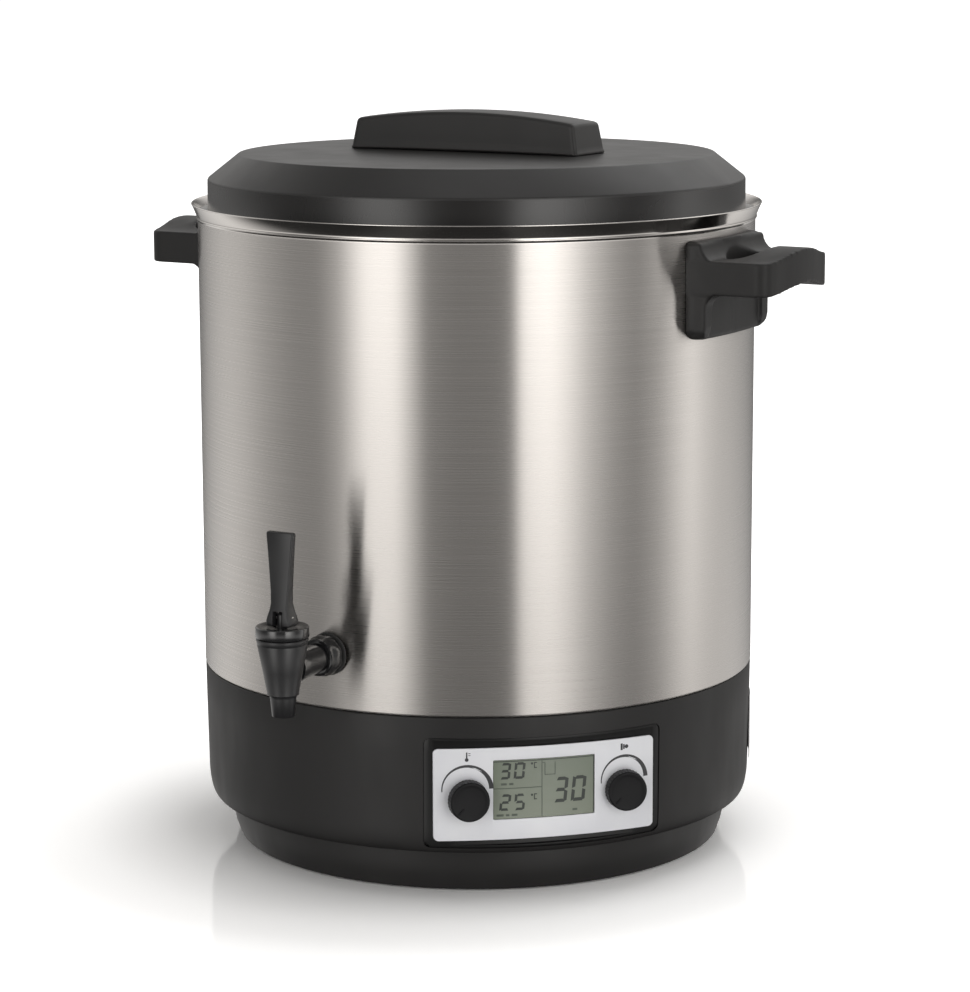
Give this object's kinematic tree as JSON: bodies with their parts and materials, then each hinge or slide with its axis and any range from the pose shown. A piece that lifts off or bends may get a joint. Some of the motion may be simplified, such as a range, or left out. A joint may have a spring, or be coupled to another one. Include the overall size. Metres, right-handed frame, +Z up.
{
  "type": "yogurt maker",
  "caption": "Electric yogurt maker: stainless pot with lid, side handles and drain tap on a black base with two dials and a display.",
  "frame": {"origin": "centre of the whole object's footprint, on the surface it stands on", "axes": "+Z up along the pot's axis, -Y towards the drain tap, side handles along +X and -X"},
  "size_m": [0.45, 0.4138, 0.4538],
  "materials": {
    "stainless_steel": "brushed around the pot, satin",
    "zinc_steel": "zinc plated, semi-bright",
    "spring_steel": "drawn wire",
    "aluminium": "mill finish",
    "black_plastic": "fine satin moulding grain",
    "panel_plastic": "glossy black",
    "knob_plastic": "satin, turned cap",
    "tap_plastic": "semi-gloss moulding",
    "rubber": "matt",
    "silicone": "translucent white, matt",
    "circuit_board": "solder mask",
    "component_plastic": "moulded",
    "bezel_paint": "silver-white, satin",
    "display_lens": "liquid crystal display behind a clear window",
    "rating_label": "blank printed film"
  },
  "bodies": {
    "cooker": {"pot_wall": "stainless_steel", "pot_floor": "stainless_steel", "tap_spring": "spring_steel", "base_housing": "black_plastic", "base_tray": "black_plastic", "panel_frame": "panel_plastic", "panel_bezel": "bezel_paint", "lcd_lens": "display_lens", "lcd_module": "component_plastic", "control_board": "circuit_board", "temperature_encoder": "component_plastic", "timer_encoder": "component_plastic", "heat_spreader": "aluminium", "heating_element": "zinc_steel", "heat_shield": "aluminium", "overheat_cutout": "component_plastic", "temperature_sensor": "zinc_steel", "pot_stud": "zinc_steel", "pot_nut": "zinc_steel", "power_board": "circuit_board", "power_relay": "component_plastic", "power_terminals": "component_plastic", "cable_gland": "black_plastic", "rating_plate": "rating_label", "side_handle_left": "black_plastic", "side_handle_right": "black_plastic", "tap_body": "tap_plastic", "tap_bonnet": "tap_plastic", "tap_outer_nut": "tap_plastic", "tap_inner_nut": "tap_plastic", "tap_outer_washer": "silicone", "tap_inner_washer": "silicone", "rubber_foot_1": "rubber", "base_screw_1": "zinc_steel", "rubber_foot_2": "rubber", "base_screw_2": "zinc_steel", "rubber_foot_3": "rubber", "base_screw_3": "zinc_steel", "rubber_foot_4": "rubber", "base_screw_4": "zinc_steel", "handle_screw_left_front": "zinc_steel", "handle_screw_left_rear": "zinc_steel", "handle_screw_right_front": "zinc_steel", "handle_screw_right_rear": "zinc_steel"},
    "lid": {"lid_shell": "black_plastic", "lid_handle": "black_plastic", "lid_screw_left": "zinc_steel", "lid_screw_right": "zinc_steel"},
    "tap_plunger": {"tap_stem": "tap_plastic", "tap_seal_cup": "silicone"},
    "tap_handle": {"tap_lever": "tap_plastic", "tap_lever_pin": "zinc_steel"},
    "temperature_dial": {"temperature_knob": "knob_plastic", "temperature_shaft": "zinc_steel"},
    "timer_dial": {"timer_knob": "knob_plastic", "timer_shaft": "zinc_steel"}
  },
  "joints": [
    {"name": "lid_lift", "type": "slide", "parent": "cooker", "child": "lid", "axis": [0, 0, 1], "range_m": [0, 0.15]},
    {"name": "plunger_lift", "type": "slide", "parent": "cooker", "child": "tap_plunger", "axis": [0, 0, 1], "range_m": [0, 0.003], "deforming": ["tap_spring"]},
    {"name": "lever_tilt", "type": "hinge", "parent": "tap_plunger", "child": "tap_handle", "pos_m": [0, -0.1913, 0.1752], "axis": [1, 0, 0], "range_deg": [0, 50], "stiffness_Nm_per_rad": 0.3, "springref_deg": -8.59},
    {"name": "temperature_turn", "type": "hinge", "parent": "cooker", "child": "temperature_dial", "pos_m": [0.08695, -0.12662, 0.0617], "axis": [0.7009, -0.7133, 0], "continuous": true},
    {"name": "timer_turn", "type": "hinge", "parent": "cooker", "child": "timer_dial", "pos_m": [0.15528, -0.05948, 0.0617], "axis": [0.7009, -0.7133, 0], "continuous": true}
  ],
  "couplings": [
    {"joint": "plunger_lift", "follows": "lever_tilt", "m_per_rad": 0.003437}
  ]
}
